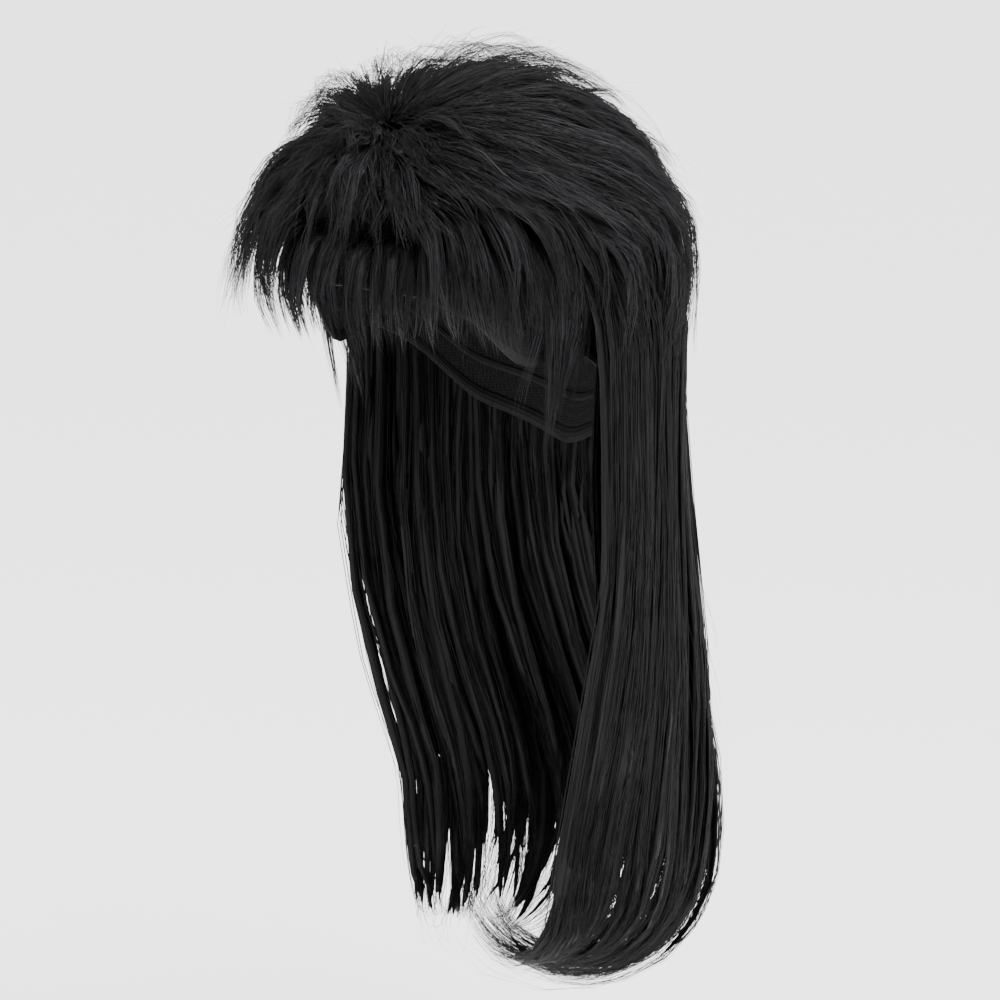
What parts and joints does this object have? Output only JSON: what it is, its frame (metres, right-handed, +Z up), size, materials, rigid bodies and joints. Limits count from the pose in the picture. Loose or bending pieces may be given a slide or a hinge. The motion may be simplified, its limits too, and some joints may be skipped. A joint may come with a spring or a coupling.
{
  "type": "mullet wig",
  "caption": "Mullet wig of straight black synthetic hair, short and teased on top with a thin fringe, long behind and curled under.",
  "frame": {"origin": "inside of the cap at the top of the wearer's head", "axes": "+Z up, -Y the way the wearer looks, +X to the wearer's left"},
  "size_m": [0.2307, 0.2972, 0.5307],
  "materials": {
    "hair": "straight black synthetic fibre with a soft sheen",
    "cap_net": "matt black elastic net"
  },
  "bodies": {
    "root": {"wig_cap": "cap_net", "crown_whorl": "hair", "crown_front": "hair", "crown_left": "hair", "crown_right": "hair", "crown_back": "hair", "layer_left": "hair", "layer_back": "hair", "layer_right": "hair", "fringe": "hair", "temple_left": "hair", "temple_right": "hair", "sideburn_left": "hair", "sideburn_right": "hair", "tail_outer_1": "hair", "tail_outer_2": "hair", "tail_outer_3": "hair", "tail_outer_4": "hair", "tail_outer_5": "hair", "tail_inner_left": "hair", "tail_inner_back": "hair", "tail_inner_right": "hair"}
  },
  "joints": []
}
